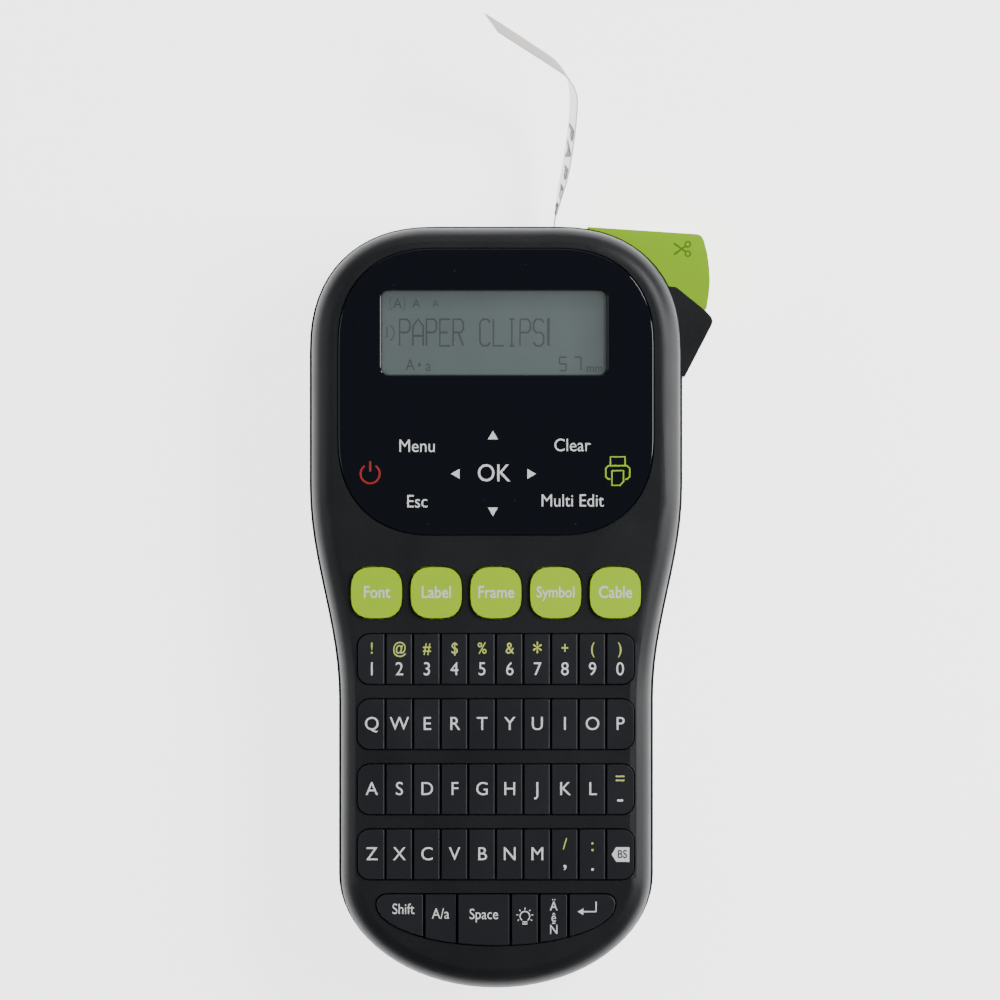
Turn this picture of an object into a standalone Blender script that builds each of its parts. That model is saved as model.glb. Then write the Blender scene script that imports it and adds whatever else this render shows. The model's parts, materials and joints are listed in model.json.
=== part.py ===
"""A handheld label maker, modelled as its separate pieces.

It lies on its back: +Z comes out of the front face, +Y points at the tape exit and
+X is to the right seen from the front. The origin is on the flat back.
Metres, +Z up.
"""

import math

import bmesh
import bpy
from mathutils import Vector

MM = 0.001
GAP = 0.3 * MM  # between two pieces that touch
RUNNING = 0.35 * MM  # around a key or a door in its opening

# The body, seen from the front
BODY_BOTTOM, BODY_TOP = -100 * MM, 100 * MM
HEAD_HALF, GRIP_HALF = 49 * MM, 41.3 * MM
GRIP_END_RISE = 30 * MM  # the elliptical end of the grip
WAIST_BOTTOM, WAIST_TOP = -24 * MM, 32 * MM
HEAD_CORNER, CORNER_POWER = 33 * MM, 2.3

# The body, seen from the side
DEPTH = 40 * MM
PARTING = 21 * MM
WALL = 2.2 * MM
FRONT_FILLET, BACK_FILLET = 5.5 * MM, 5 * MM
FRONT_STEP = 1.0 * MM  # the front case stands in from the rear case
HOLLOW_TOP, HOLLOW_BOTTOM, HOLLOW_RISE = -5 * MM, -34 * MM, 8 * MM

# The panel and the display
PANEL_SIZE, PANEL_CENTRE = (81.8 * MM, 74.3 * MM), (0, 56.2 * MM)
PANEL_CORNER, PANEL_THICK, PANEL_LEDGE = 25 * MM, 1.2 * MM, 3 * MM
PANEL_PROUD, PANEL_STEPS = 0.1 * MM, 14
WINDOW_SIZE, WINDOW_CENTRE, WINDOW_CORNER = (58.8 * MM, 22.2 * MM), (-0.45 * MM, 71.6 * MM), 2 * MM

# The keys
KEY_TRAVEL = 0.8 * MM
FUNCTION_Y, FUNCTION_PITCH, FUNCTION_SIZE = 4.05 * MM, 15.5 * MM, 13.2 * MM
FUNCTION_CORNER, FUNCTION_PROUD = 5.2 * MM, 1.1 * MM
ROW_SIZE, ROW_CORNER, ROW_PROUD = (71.6 * MM, 12.9 * MM), 3.1 * MM, 0.7 * MM
ROW_TOP_Y, ROW_PITCH, KEYS_PER_ROW = -13.2 * MM, 16.9 * MM, 10
KEY_GROOVE, KEY_GROOVE_DEPTH = 0.7 * MM, 2.2 * MM
MOON_HALF, MOON_TOP, MOON_BOTTOM, MOON_CORNER = 31 * MM, -74.3 * MM, -87.5 * MM, 2.5 * MM
MOON_SPLITS = (-18.6 * MM, -10.1 * MM, 3.8 * MM, 11.2 * MM, 18.8 * MM)
KEY_HEIGHT = 3.9 * MM  # from the top of a key down to its foot
MAT_THICK, BOARD_THICK = 2 * MM, 1.4 * MM

# The tape and the cassette
TAPE_X, TAPE_WIDTH, TAPE_THICK, TAPE_MIDDLE = 15.4 * MM, 12 * MM, 0.3 * MM, 12 * MM
CASSETTE_X, CASSETTE_Y, CASSETTE_Z = (-37 * MM, 20 * MM), (22 * MM, 70 * MM), (3 * MM, 20 * MM)
CASSETTE_WALL = 1.2 * MM
ROLL_AT, ROLL_RADIUS = (-17 * MM, 46 * MM), 17 * MM
SUPPLY_AT, SUPPLY_RADIUS = (8.5 * MM, 33 * MM), 7.5 * MM
TAKEUP_RADIUS = 4.5 * MM
CORE_BORE = 3 * MM

# The drive
MODULE = 1 * MM
PINION_TEETH, IDLER_TEETH, PLATEN_TEETH, TAKEUP_TEETH = 10, 16, 14, 16
MOTOR_RADIUS, MOTOR_X = 7.5 * MM, 31 * MM
PLATEN_RADIUS, PLATEN_Y, SHAFT_RADIUS = 4.6 * MM, 76 * MM, 1.2 * MM
TAKEUP_STEP = 3  # idler teeth between the platen gear and the take-up gear
CHASSIS_Z, CHASSIS_THICK = 21.6 * MM, 1.4 * MM
GEAR_THICK = 3 * MM
TOOTH_ROOT, TOOTH_TIP = 0.25, 0.11  # half widths of a tooth, as shares of the pitch

# The cutter
LEVER_PIVOT = (30 * MM, 80 * MM)
LEVER_Z, HUB_RADIUS, PIN_RADIUS = (7 * MM, 17 * MM), 4.2 * MM, 1.8 * MM
DRIVE_ARM, DRIVE_RADIUS = 11 * MM, 1.5 * MM
CUTTER_Y, BLADE_THICK = 90.3 * MM, 0.6 * MM
LEVER_ANGLE = math.radians(14)

# Power
CELL_RADIUS, CELL_LENGTH, CELLS, CELL_PITCH = 5.25 * MM, 44.5 * MM, 6, 11 * MM
CELL_MIDDLE = (-58.3 * MM, 9 * MM)  # Y and Z
DOOR_THICK = 1.8 * MM
DOOR_GAP, HINGE_CORNER = 0.5 * MM, 0.3 * MM
CASSETTE_DOOR_SIZE, CASSETTE_DOOR_Y, CASSETTE_DOOR_CORNER = (77 * MM, 56 * MM), 46 * MM, 6 * MM
BATTERY_DOOR_SIZE, BATTERY_DOOR_Y, BATTERY_DOOR_CORNER = (67 * MM, 46 * MM), -58.5 * MM, 12 * MM

# Screws, from the back
SCREWS = {"case_screw_left": (-42.3 * MM, 44 * MM), "case_screw_right": (42.3 * MM, 44 * MM),
          "case_screw_bottom": (0, -93.4 * MM)}
POST_RADIUS, SHANK_RADIUS, SCREW_HEAD_RADIUS, SCREW_END = 2.9 * MM, 1.0 * MM, 2.1 * MM, 29 * MM

for leftover in list(bpy.data.objects):
    bpy.data.objects.remove(leftover)
parts = bpy.data.collections.new("label_maker")
tools = bpy.data.collections.new("cutters")
bpy.context.scene.collection.children.link(parts)
bpy.context.scene.collection.children.link(tools)


# ---------------------------------------------------------------- materials
def material(name, colour, roughness, metallic=0.0):
    made = bpy.data.materials.new(name)
    made.use_nodes = True
    shader = made.node_tree.nodes["Principled BSDF"]
    shader.inputs["Base Color"].default_value = (*colour, 1)
    shader.inputs["Roughness"].default_value = roughness
    shader.inputs["Metallic"].default_value = metallic
    made.diffuse_color = (*colour, 1)
    return made


CASE = material("case_plastic", (0.03, 0.03, 0.034), 0.5)
INNER = material("inner_plastic", (0.07, 0.07, 0.075), 0.6)
GLOSS = material("panel_gloss", (0.008, 0.011, 0.018), 0.1)
CLEAR = material("window_clear", (0.5, 0.55, 0.52), 0.08)
LCD = material("lcd_glass", (0.2, 0.25, 0.22), 0.3)
LIME = material("lime_plastic", (0.55, 0.78, 0.0), 0.4)
KEY = material("key_plastic", (0.035, 0.037, 0.045), 0.5)
RUBBER = material("grey_rubber", (0.12, 0.12, 0.12), 0.85)
BOARD = material("circuit_board", (0.01, 0.12, 0.05), 0.5)
STEEL = material("steel", (0.6, 0.6, 0.6), 0.3, 1.0)
NYLON = material("gear_nylon", (0.75, 0.73, 0.66), 0.5)
CELL = material("cell_jacket", (0.05, 0.12, 0.3), 0.35)
TAPE = material("white_tape", (0.85, 0.85, 0.82), 0.4)
INK = material("ribbon_film", (0.02, 0.02, 0.02), 0.25)


# ---------------------------------------------------------------- outlines
def corner(centre, radius, start, power=2.0, steps=6):
    """A quarter turn anticlockwise from the angle start: a superellipse, or an arc at power 2."""
    found = []
    for step in range(steps + 1):
        angle = start + math.pi / 2 * step / steps
        c, s = math.cos(angle), math.sin(angle)
        x = math.copysign(abs(c) ** (2 / power), c) if abs(c) > 1e-9 else 0.0
        y = math.copysign(abs(s) ** (2 / power), s) if abs(s) > 1e-9 else 0.0
        found.append((centre[0] + radius * x, centre[1] + radius * y))
    return found


def rounded(size, radius, centre=(0, 0), power=2.0, steps=5):
    """A rectangle with round corners."""
    found = []
    for turn, (sx, sy) in enumerate(((1, 1), (-1, 1), (-1, -1), (1, -1))):
        middle = (centre[0] + sx * (size[0] / 2 - radius), centre[1] + sy * (size[1] / 2 - radius))
        found += corner(middle, radius, turn * math.pi / 2, power, steps)
    return found


def right_side():
    """The right half of the body's outline, from the grip's end up to the tape exit."""
    end_steps, waist_steps, head_steps = 18, 12, 16
    found = []
    for step in range(1, end_steps + 1):
        angle = -math.pi / 2 * (1 - step / end_steps)
        found.append((GRIP_HALF * math.cos(angle), BODY_BOTTOM + GRIP_END_RISE * (1 + math.sin(angle))))
    found.append((GRIP_HALF, (HOLLOW_BOTTOM + found[-1][1]) / 2))
    found.append((GRIP_HALF, HOLLOW_BOTTOM))
    found.append((GRIP_HALF, (HOLLOW_BOTTOM + WAIST_BOTTOM) / 2))
    for step in range(waist_steps + 1):
        share = step / waist_steps
        ease = (1 - math.cos(math.pi * share)) / 2
        y = WAIST_BOTTOM + (WAIST_TOP - WAIST_BOTTOM) * share
        found.append((GRIP_HALF + (HEAD_HALF - GRIP_HALF) * ease, y))
    middle = (HEAD_HALF - HEAD_CORNER, BODY_TOP - HEAD_CORNER)
    return found + corner(middle, HEAD_CORNER, 0, CORNER_POWER, head_steps)


def offset(points, inset):
    """The open chain moved inwards along its normals. Both ends stay on the middle plane's side."""
    found = []
    last = len(points) - 1
    for k, (x, y) in enumerate(points):
        before, after = points[max(k - 1, 0)], points[min(k + 1, last)]
        dx, dy = after[0] - before[0], after[1] - before[1]
        length = math.hypot(dx, dy)
        found.append((x - inset * dy / length, y + inset * dx / length))
    return found


def body_outline(inset):
    """The whole outline, anticlockwise from the grip's end."""
    right = offset(right_side(), inset)
    return [(0, BODY_BOTTOM + inset)] + right + [(-x, y) for x, y in reversed(right)]


# ---------------------------------------------------------------- solids
def finish(obj, name, surface, helper=False):
    obj.name = name
    obj.data.name = name
    obj.data.materials.clear()
    obj.data.materials.append(surface)
    for collection in list(obj.users_collection):
        collection.objects.unlink(obj)
    (tools if helper else parts).objects.link(obj)
    obj.hide_render = helper
    obj.display_type = "WIRE" if helper else "TEXTURED"
    obj.data.shade_smooth()
    obj.data.set_sharp_from_angle(angle=math.radians(35))
    return obj


def mesh_of(curve_object):
    """The curve's own mesh, with its caps welded on. The curve is removed."""
    graph = bpy.context.evaluated_depsgraph_get()
    mesh = bpy.data.meshes.new_from_object(curve_object.evaluated_get(graph))
    made = bpy.data.objects.new(curve_object.name, mesh)
    bpy.context.scene.collection.objects.link(made)
    made.matrix_world = curve_object.matrix_world
    bpy.data.objects.remove(curve_object)
    weld(mesh)
    return made


def weld(mesh):
    bm = bmesh.new()
    bm.from_mesh(mesh)
    bmesh.ops.remove_doubles(bm, verts=bm.verts, dist=0.00001)
    bmesh.ops.recalc_face_normals(bm, faces=bm.faces)
    bm.to_mesh(mesh)
    bm.free()


def plate(name, outline, bottom, top, surface=INNER, helper=False, origin=(0, 0)):
    """A flat outline given a thickness, with its origin at the place named."""
    curve = bpy.data.curves.new(name, "CURVE")
    curve.dimensions = "2D"
    curve.fill_mode = "BOTH"
    curve.extrude = (top - bottom) / 2
    spline = curve.splines.new("POLY")
    spline.points.add(len(outline) - 1)
    for point, (x, y) in zip(spline.points, outline):
        point.co = (x - origin[0], y - origin[1], 0, 1)
    spline.use_cyclic_u = True
    made = bpy.data.objects.new(name, curve)
    bpy.context.scene.collection.objects.link(made)
    made.location = (origin[0], origin[1], (bottom + top) / 2)
    bpy.context.view_layer.update()
    return finish(mesh_of(made), name, surface, helper)


def box(name, x, y, z, surface=INNER, helper=False):
    """A block between two values on each axis."""
    bpy.ops.mesh.primitive_cube_add(size=1)
    made = bpy.context.object
    for axis, (low, high) in enumerate((x, y, z)):
        for vertex in made.data.vertices:
            vertex.co[axis] *= high - low
        made.location[axis] = (low + high) / 2
    return finish(made, name, surface, helper)


def disc(name, centre, radius, z, surface=INNER, helper=False, sides=32):
    """An upright cylinder with its origin on its axis."""
    bpy.ops.mesh.primitive_cylinder_add(radius=radius, depth=z[1] - z[0], vertices=sides)
    made = bpy.context.object
    made.location = (centre[0], centre[1], (z[0] + z[1]) / 2)
    return finish(made, name, surface, helper)


def boolean(obj, other, operation):
    change = obj.modifiers.new(other.name, "BOOLEAN")
    change.operation = operation
    change.object = other
    return obj


def cut(obj, *cutters):
    for cutter in cutters:
        boolean(obj, cutter, "DIFFERENCE")
    return obj


def join(obj, *others):
    for other in others:
        boolean(obj, other, "UNION")
    return obj


# ---------------------------------------------------------------- casings
def rise(y):
    """How far the finger hollow lifts the back at this height of the body."""
    share = (y - HOLLOW_BOTTOM) / (HOLLOW_TOP - HOLLOW_BOTTOM)
    return HOLLOW_RISE * math.sin(math.pi * share) ** 2 if 0 < share < 1 else 0.0


def shell(name, levels, hollowed):
    """A case half: rings of the body's outline from the rim to the closed face, with a wall inwards."""
    upwards = levels[-1][0] > levels[0][0]
    rim = levels[0][0]
    bm = bmesh.new()
    rings = []
    for z, inset in levels:
        ring = []
        for x, y in body_outline(inset):
            height = rim - (rim - z) * (rim - rise(y)) / rim if hollowed else z
            ring.append(bm.verts.new((x, y, height)))
        rings.append(ring)
    count = len(rings[0])
    faces = []
    for lower, upper in zip(rings, rings[1:]):
        for k in range(count):
            faces.append((lower[k], lower[(k + 1) % count], upper[(k + 1) % count], upper[k]))
    end = rings[-1]
    faces.append((end[0], end[1], end[count - 1]))
    for k in range(1, count // 2):
        faces.append((end[k], end[k + 1], end[count - k - 1], end[count - k]))
    for corners in faces:
        bm.faces.new(corners if upwards else corners[::-1])
    mesh = bpy.data.meshes.new(name)
    bm.to_mesh(mesh)
    bm.free()
    made = bpy.data.objects.new(name, mesh)
    bpy.context.scene.collection.objects.link(made)
    wall = made.modifiers.new("wall", "SOLIDIFY")
    wall.thickness = WALL
    wall.offset = -1
    wall.use_even_offset = True
    return finish(made, name, CASE)


def fillet(radius, start_inset, edge, sign, steps=5):
    """Levels round an edge, from the side wall to the flat face."""
    found = []
    for step in range(1, steps + 1):
        angle = math.pi / 2 * step / steps
        inwards = radius * (1 - math.cos(angle))
        found.append((edge - sign * radius * (1 - math.sin(angle)), start_inset + inwards))
    return found


FRONT_RIM, BACK_RIM = PARTING + GAP / 2, PARTING - GAP / 2
front_levels = [(FRONT_RIM, FRONT_STEP), (DEPTH - FRONT_FILLET, FRONT_STEP)]
front_levels += fillet(FRONT_FILLET, FRONT_STEP, DEPTH, 1)
back_levels = [(BACK_RIM, 0), (BACK_FILLET, 0)] + fillet(BACK_FILLET, 0, 0, -1)
front_case = shell("front_case", front_levels, False)
rear_case = shell("rear_case", back_levels, True)

ABOVE, BELOW = DEPTH + 5 * MM, -5 * MM
recess_floor = DEPTH + PANEL_PROUD - PANEL_THICK - GAP
panel_recess = rounded((PANEL_SIZE[0] + 2 * GAP, PANEL_SIZE[1] + 2 * GAP), PANEL_CORNER + GAP,
                       PANEL_CENTRE, CORNER_POWER, PANEL_STEPS)
panel_window = rounded((PANEL_SIZE[0] - 2 * PANEL_LEDGE, PANEL_SIZE[1] - 2 * PANEL_LEDGE),
                       PANEL_CORNER - PANEL_LEDGE, PANEL_CENTRE, CORNER_POWER)
cut(front_case,
    plate("panel_recess", panel_recess, recess_floor, ABOVE, helper=True),
    plate("panel_opening", panel_window, PARTING, ABOVE, helper=True))


def door_outline(size, middle_y, radius, hinge_at_top, grow=0.0):
    """A cover's outline: round corners away from the hinge, and nearly square ones beside it."""
    found = []
    for turn, (sx, sy) in enumerate(((1, 1), (-1, 1), (-1, -1), (1, -1))):
        by_hinge = (sy > 0) == hinge_at_top
        bend = (HINGE_CORNER if by_hinge else radius) + grow
        middle = (sx * (size[0] / 2 + grow - bend), middle_y + sy * (size[1] / 2 + grow - bend))
        found += corner(middle, bend, turn * math.pi / 2)
    return found


def door(name, size, middle_y, radius, hinge_at_top):
    """A hinged cover in the flat back, with its origin on its hinge."""
    cut(rear_case, plate(name + "_opening", door_outline(size, middle_y, radius, hinge_at_top, DOOR_GAP),
                         BELOW, BACK_FILLET, helper=True))
    edge = middle_y + (0.5 if hinge_at_top else -0.5) * size[1]
    hinge = edge - DOOR_THICK / 2 if hinge_at_top else edge + DOOR_THICK / 2
    outline = door_outline(size, middle_y, radius, hinge_at_top)
    return plate(name, outline, 0, DOOR_THICK, CASE, origin=(0, hinge))


door("cassette_door", CASSETTE_DOOR_SIZE, CASSETTE_DOOR_Y, CASSETTE_DOOR_CORNER, False)
door("battery_door", BATTERY_DOOR_SIZE, BATTERY_DOOR_Y, BATTERY_DOOR_CORNER, True)

for screw_name, place in SCREWS.items():
    hole = SHANK_RADIUS + GAP
    join(front_case, disc(screw_name + "_front_post", place, POST_RADIUS,
                          (FRONT_RIM, DEPTH - WALL / 2), helper=True, sides=20))
    join(rear_case, disc(screw_name + "_rear_post", place, POST_RADIUS,
                         (WALL / 2, BACK_RIM), helper=True, sides=20))
    bore = disc(screw_name + "_bore", place, hole, (BELOW, SCREW_END + GAP), helper=True, sides=16)
    sink = disc(screw_name + "_sink", place, SCREW_HEAD_RADIUS + GAP, (BELOW, 2 * WALL),
                helper=True, sides=20)
    cut(front_case, bore)
    cut(rear_case, bore, sink)
    head = disc(screw_name, place, SCREW_HEAD_RADIUS, (WALL, 2 * WALL - GAP), STEEL, sides=20)
    shank = disc(screw_name + "_shank", place, SHANK_RADIUS, (2 * WALL - 2 * GAP, SCREW_END),
                 helper=True, sides=16)
    reach = SCREW_HEAD_RADIUS * 0.7
    slot = box(screw_name + "_slot", (place[0] - reach, place[0] + reach),
               (place[1] - GAP, place[1] + GAP), (WALL / 2, WALL + 2 * GAP), helper=True)
    cut(join(head, shank), slot)

# ---------------------------------------------------------------- panel and display
panel = plate("front_panel", rounded(PANEL_SIZE, PANEL_CORNER, PANEL_CENTRE, CORNER_POWER, PANEL_STEPS),
              DEPTH + PANEL_PROUD - PANEL_THICK, DEPTH + PANEL_PROUD, GLOSS)
cut(panel, plate("window_opening", rounded(WINDOW_SIZE, WINDOW_CORNER, WINDOW_CENTRE),
                 PARTING, ABOVE, helper=True))
pane = (WINDOW_SIZE[0] - 2 * GAP, WINDOW_SIZE[1] - 2 * GAP)
plate("display_window", rounded(pane, WINDOW_CORNER - GAP, WINDOW_CENTRE),
      DEPTH + PANEL_PROUD - PANEL_THICK, DEPTH + PANEL_PROUD, CLEAR)
LCD_TOP, LCD_MARGIN, LCD_THICK = recess_floor, 1.6 * MM, 3.5 * MM
lcd_x = [WINDOW_CENTRE[0] + side * (WINDOW_SIZE[0] / 2 + LCD_MARGIN) for side in (-1, 1)]
lcd_y = [WINDOW_CENTRE[1] + side * (WINDOW_SIZE[1] / 2 + LCD_MARGIN) for side in (-1, 1)]
box("lcd_module", lcd_x, lcd_y, (LCD_TOP - LCD_THICK, LCD_TOP), LCD)
board_top = LCD_TOP - LCD_THICK - GAP
board_size = [side - 2 * (PANEL_LEDGE + GAP) for side in PANEL_SIZE]
plate("touch_board", rounded(board_size, PANEL_CORNER - PANEL_LEDGE, PANEL_CENTRE, CORNER_POWER),
      board_top - BOARD_THICK, board_top, BOARD)

# ---------------------------------------------------------------- keys
KEY_FOOT = DEPTH + ROW_PROUD - KEY_HEIGHT
FLANGE_WIDE, FLANGE_TOP = 0.6 * MM, DEPTH - WALL - 2 * GAP


def key(name, outline_at, top, surface, flanged=True):
    """A key in its own opening. outline_at gives its outline, grown by a distance."""
    made = plate(name, outline_at(0), KEY_FOOT, top, surface)
    if flanged:
        join(made, plate(name + "_flange", outline_at(FLANGE_WIDE), KEY_FOOT + GAP / 3, FLANGE_TOP,
                         helper=True))
    return made


def opening(name, outline_at):
    cut(front_case, plate(name + "_opening", outline_at(RUNNING), PARTING, ABOVE, helper=True))


for number, name in enumerate(("font_key", "label_key", "frame_key", "symbol_key", "cable_key")):
    centre = ((number - 2) * FUNCTION_PITCH, FUNCTION_Y)

    def function_outline(grow, centre=centre):
        side = FUNCTION_SIZE + 2 * grow
        return rounded((side, side), FUNCTION_CORNER + grow, centre, CORNER_POWER)

    opening(name, function_outline)
    key(name, function_outline, DEPTH + FUNCTION_PROUD, LIME)

ROW_NAMES = ("number_key_row", "upper_letter_key_row", "middle_letter_key_row", "lower_letter_key_row")
for number, name in enumerate(ROW_NAMES):
    row_y = ROW_TOP_Y - number * ROW_PITCH

    def row_outline(grow, row_y=row_y):
        size = (ROW_SIZE[0] + 2 * grow, ROW_SIZE[1] + 2 * grow)
        return rounded(size, ROW_CORNER + grow, (0, row_y))

    opening(name, row_outline)
    row = key(name, row_outline, DEPTH + ROW_PROUD, KEY)
    for split in range(1, KEYS_PER_ROW):
        x = ROW_SIZE[0] * (split / KEYS_PER_ROW - 0.5)
        cut(row, box(f"{name}_groove_{split}", (x - KEY_GROOVE / 2, x + KEY_GROOVE / 2),
                     (row_y - ROW_SIZE[1], row_y + ROW_SIZE[1]),
                     (DEPTH + ROW_PROUD - KEY_GROOVE_DEPTH, ABOVE), helper=True))


def moon_outline(grow):
    """The half moon of the bottom keys: a straight top and a half ellipse below."""
    side, drop = MOON_HALF - MOON_CORNER, MOON_TOP - MOON_CORNER
    found = corner((side, drop), MOON_CORNER + grow, 0, steps=4)
    found += corner((-side, drop), MOON_CORNER + grow, math.pi / 2, steps=4)
    steps = 20
    for step in range(1, steps):
        angle = math.pi * (1 + step / steps)
        found.append(((MOON_HALF + grow) * math.cos(angle),
                      drop + (drop - MOON_BOTTOM + grow) * math.sin(angle)))
    return found


opening("bottom_keys", moon_outline)
moon_edges = (-MOON_HALF - RUNNING, *MOON_SPLITS, MOON_HALF + RUNNING)
MOON_NAMES = ("shift_key", "capitals_key", "space_key", "light_key", "accent_key", "enter_key")
for name, left, right in zip(MOON_NAMES, moon_edges, moon_edges[1:]):
    piece = key(name, moon_outline, DEPTH + ROW_PROUD, KEY, flanged=False)
    share = box(name + "_share", (left + RUNNING, right - RUNNING), (2 * MOON_BOTTOM, 0),
                (KEY_FOOT - MM, ABOVE), helper=True)
    boolean(piece, share, "INTERSECT")

MAT_INSET, MAT_TOP_Y, MAT_BOTTOM_Y = 4.2 * MM, 12 * MM, -90 * MM
mat_top = KEY_FOOT - KEY_TRAVEL - GAP
deck_range = box("deck_range", (-HEAD_HALF, HEAD_HALF), (MAT_BOTTOM_Y, MAT_TOP_Y), (0, ABOVE), helper=True)
for name, top, thick, surface in (
    ("key_mat", mat_top, MAT_THICK, RUBBER),
    ("main_board", mat_top - MAT_THICK - GAP, BOARD_THICK, BOARD),
):
    boolean(plate(name, body_outline(MAT_INSET), top - thick, top, surface), deck_range, "INTERSECT")


# ---------------------------------------------------------------- cassette
def loft(name, stations, surface, steps=5):
    """A flat ribbon through stations of (centre, width direction), smoothed between them."""
    spots = [(Vector(centre), Vector(wide).normalized()) for centre, wide in stations]
    path = []
    for k in range(len(spots) - 1):
        around = [spots[min(max(k + shift, 0), len(spots) - 1)] for shift in (-1, 0, 1, 2)]
        for step in range(steps):
            t = step / steps
            weights = ((-t + 2 * t**2 - t**3) / 2, (2 - 5 * t**2 + 3 * t**3) / 2,
                       (t + 4 * t**2 - 3 * t**3) / 2, (t**3 - t**2) / 2)
            centre = sum((w * spot[0] for w, spot in zip(weights, around)), Vector())
            lean = sum((w * spot[1] for w, spot in zip(weights, around)), Vector())
            path.append((centre, lean.normalized()))
    path.append(spots[-1])
    bm = bmesh.new()
    rings = []
    for k, (centre, wide) in enumerate(path):
        along = path[min(k + 1, len(path) - 1)][0] - path[max(k - 1, 0)][0]
        across = along.cross(wide).normalized()
        rings.append([bm.verts.new(centre + wide * TAPE_WIDTH / 2 * a + across * TAPE_THICK / 2 * b)
                      for a, b in ((1, 1), (-1, 1), (-1, -1), (1, -1))])
    for first, second in zip(rings, rings[1:]):
        for k in range(4):
            bm.faces.new((first[k], first[(k + 1) % 4], second[(k + 1) % 4], second[k]))
    bm.faces.new(rings[0])
    bm.faces.new(rings[-1][::-1])
    bmesh.ops.recalc_face_normals(bm, faces=bm.faces)
    mesh = bpy.data.meshes.new(name)
    bm.to_mesh(mesh)
    bm.free()
    made = bpy.data.objects.new(name, mesh)
    bpy.context.scene.collection.objects.link(made)
    return finish(made, name, surface)


def toward(start, angle, distance):
    return (start[0] + distance * math.cos(angle), start[1] + distance * math.sin(angle))


def pitch_radius(teeth):
    return MODULE * teeth / 2


PLATEN_AT = (TAPE_X + TAPE_THICK / 2 + RUNNING + PLATEN_RADIUS, PLATEN_Y)
train = pitch_radius(PINION_TEETH) + 2 * pitch_radius(IDLER_TEETH) + pitch_radius(PLATEN_TEETH)
MOTOR_AT = (MOTOR_X, PLATEN_Y - math.sqrt(train**2 - (MOTOR_X - PLATEN_AT[0]) ** 2))
TRAIN_ANGLE = math.atan2(PLATEN_AT[1] - MOTOR_AT[1], PLATEN_AT[0] - MOTOR_AT[0])
IDLER_AT = toward(MOTOR_AT, TRAIN_ANGLE, pitch_radius(PINION_TEETH) + pitch_radius(IDLER_TEETH))
TAKEUP_ANGLE = TRAIN_ANGLE + TAKEUP_STEP * 2 * math.pi / IDLER_TEETH
TAKEUP_AT = toward(IDLER_AT, TAKEUP_ANGLE, pitch_radius(IDLER_TEETH) + pitch_radius(TAKEUP_TEETH))
SPINDLE_RADIUS = CORE_BORE - 3 * GAP

TAPE_Z = (TAPE_MIDDLE - TAPE_WIDTH / 2, TAPE_MIDDLE + TAPE_WIDTH / 2)
inner_x = [CASSETTE_X[0] + CASSETTE_WALL, CASSETTE_X[1] - CASSETTE_WALL]
inner_y = [CASSETTE_Y[0] + CASSETTE_WALL, CASSETTE_Y[1] - CASSETTE_WALL]
cassette_middle = (sum(CASSETTE_X) / 2, sum(CASSETTE_Y) / 2)
cassette = plate("cassette_case", rounded((CASSETTE_X[1] - CASSETTE_X[0], CASSETTE_Y[1] - CASSETTE_Y[0]),
                                          3 * MM, cassette_middle), *CASSETTE_Z, INNER)
cut(cassette,
    box("cassette_inside", inner_x, inner_y, (CASSETTE_Z[0] + CASSETTE_WALL, ABOVE), helper=True),
    box("cassette_tape_slot", (TAPE_X - 2 * MM, TAPE_X + 2 * MM), (inner_y[1] - MM, CASSETTE_Y[1] + MM),
        (TAPE_Z[0] - MM, ABOVE), helper=True))
for name, place, radius, surface in (
    ("tape_spool", ROLL_AT, ROLL_RADIUS, TAPE),
    ("ribbon_supply_spool", SUPPLY_AT, SUPPLY_RADIUS, INK),
):
    join(cassette, disc(name + "_post", place, SPINDLE_RADIUS,
                        (CASSETTE_Z[0] + CASSETTE_WALL / 2, TAPE_Z[1]), helper=True, sides=24))
    cut(disc(name, place, radius, TAPE_Z, surface, sides=48),
        disc(name + "_bore", place, CORE_BORE, (0, ABOVE), helper=True, sides=24))
cut(disc("ribbon_takeup_spool", TAKEUP_AT, TAKEUP_RADIUS, TAPE_Z, INK, sides=36),
    disc("takeup_bore", TAKEUP_AT, CORE_BORE, (0, ABOVE), helper=True, sides=24))

UP = (0, 0, 1)
loft("label_tape", [((x * MM, y * MM, TAPE_MIDDLE), UP) for x, y in
                    ((0.8, 43), (4.5, 44.0), (8.5, 45.6), (12.3, 48.3), (14.7, 52.2), (15.4, 57), (15.4, 66))]
     + [((TAPE_X, CUTTER_Y - BLADE_THICK / 2 - GAP, TAPE_MIDDLE), UP)], TAPE)
outside = (
    ((15.4, 100.8, 12.0), UP), ((15.9, 104.2, 12.6), (0.03, -0.07, 1)), ((17.0, 109.5, 14.3), (0.08, -0.2, 0.97)),
    ((18.3, 115, 16.2), (0.11, -0.27, 0.96)), ((19.6, 123, 18.8), (0.12, -0.3, 0.95)),
    ((20.3, 130, 21.2), (0.13, -0.32, 0.94)), ((20.1, 136, 24.0), (0.17, -0.36, 0.92)),
    ((17.4, 140.6, 27.8), (0.22, -0.41, 0.89)), ((12.3, 144, 31.5), (0.26, -0.44, 0.86)),
    ((5.6, 148, 36.0), (0.28, -0.46, 0.84)), ((-1.2, 152, 40.5), (0.28, -0.46, 0.84)),
)
loft("printed_label", [((TAPE_X, CUTTER_Y + BLADE_THICK / 2 + GAP, TAPE_MIDDLE), UP)]
     + [(tuple(value * MM for value in centre), wide) for centre, wide in outside], TAPE)
cut(rear_case, box("tape_exit", (TAPE_X - 1.5 * MM, TAPE_X + 1.5 * MM), (BODY_TOP - 2 * WALL, BODY_TOP + WALL),
                   (TAPE_Z[0] - 0.8 * MM, TAPE_Z[1] + 0.8 * MM), helper=True))

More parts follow.
